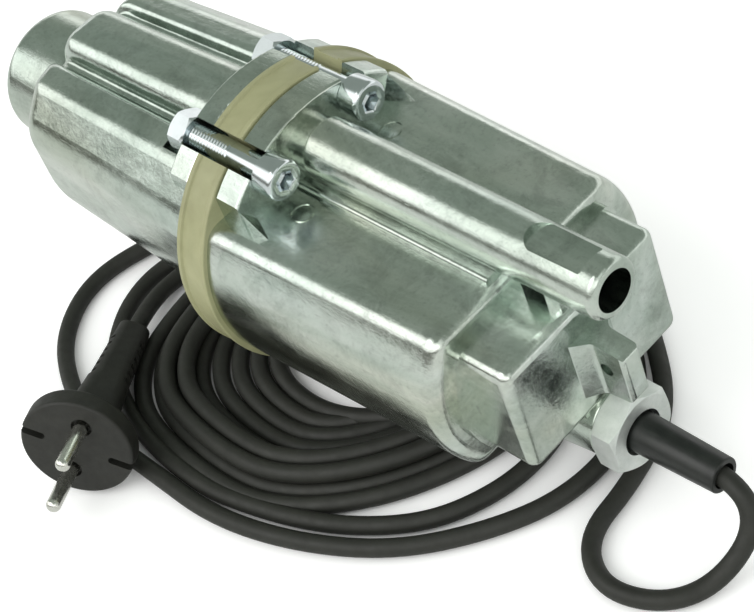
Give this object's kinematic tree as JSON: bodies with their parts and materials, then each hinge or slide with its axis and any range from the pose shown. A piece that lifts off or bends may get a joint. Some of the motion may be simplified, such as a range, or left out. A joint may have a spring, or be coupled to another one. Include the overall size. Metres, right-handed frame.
{
  "type": "submersible vibratory pump",
  "caption": "Slim die-cast submersible vibratory pump with a bottom intake, side discharge pipe, clamped rubber joint and coiled mains cable with plug.",
  "frame": {"origin": "on the pump's axis, in the middle of the joint gasket, half way between the intake end and the discharge pipe's end", "axes": "+X along the pump towards the cable gland, +Z from the axis towards the discharge pipe"},
  "size_m": [0.304, 0.1886, 0.1055],
  "materials": {
    "cast_aluminium": "bright die-cast skin with flow stains and fine scratches",
    "gasket_rubber": "olive rubber, slightly glossy",
    "zinc_steel": "bright blue-white zinc plating",
    "gland_zinc": "matte cast surface",
    "black_rubber": "smooth black rubber",
    "cable_rubber": "matte extruded sheath",
    "plug_rubber": "moulded matte grey-black",
    "pin_nickel": "nickel plated",
    "core_steel": "laminated sheet steel",
    "bobbin_plastic": "moulded",
    "winding_copper": "enamelled copper wire",
    "potting_resin": "cast resin",
    "rod_steel": "turned stainless steel"
  },
  "bodies": {
    "pump": {"intake_housing": "cast_aluminium", "motor_housing": "cast_aluminium", "joint_gasket": "gasket_rubber", "clamp_screws": "zinc_steel", "clamp_nuts": "zinc_steel", "gland_nut": "gland_zinc", "gland_washer": "gland_zinc", "gland_seal": "black_rubber", "cable_boot": "black_rubber", "magnet_core": "core_steel", "coil_bobbins": "bobbin_plastic", "coil_windings": "winding_copper", "potting_compound": "potting_resin", "shock_absorber": "black_rubber", "diaphragm": "black_rubber", "diaphragm_ring": "rod_steel", "valve_screw": "zinc_steel", "valve_nut": "zinc_steel", "power_cable": "cable_rubber", "cable_coil": "cable_rubber", "outer_turn": "cable_rubber", "plug_cable": "cable_rubber", "plug_body": "plug_rubber", "plug_pins": "pin_nickel"},
    "vibrator": {"vibrator_rod": "rod_steel", "armature": "core_steel", "absorber_washers": "rod_steel", "spacer_sleeve": "rod_steel", "diaphragm_washers": "rod_steel", "piston_sleeve": "rod_steel", "piston": "black_rubber", "adjusting_shims": "rod_steel", "piston_washer": "rod_steel", "rod_nuts": "rod_steel"},
    "check_valve": {"inlet_valve": "black_rubber"}
  },
  "joints": [
    {"name": "vibrator_stroke", "type": "slide", "parent": "pump", "child": "vibrator", "axis": [1, 0, 0], "range_m": [-0.0012, 0.0012], "stiffness_N_per_m": 20000},
    {"name": "valve_lift", "type": "slide", "parent": "pump", "child": "check_valve", "axis": [1, 0, 0], "range_m": [0, 0.0015], "stiffness_N_per_m": 60}
  ]
}
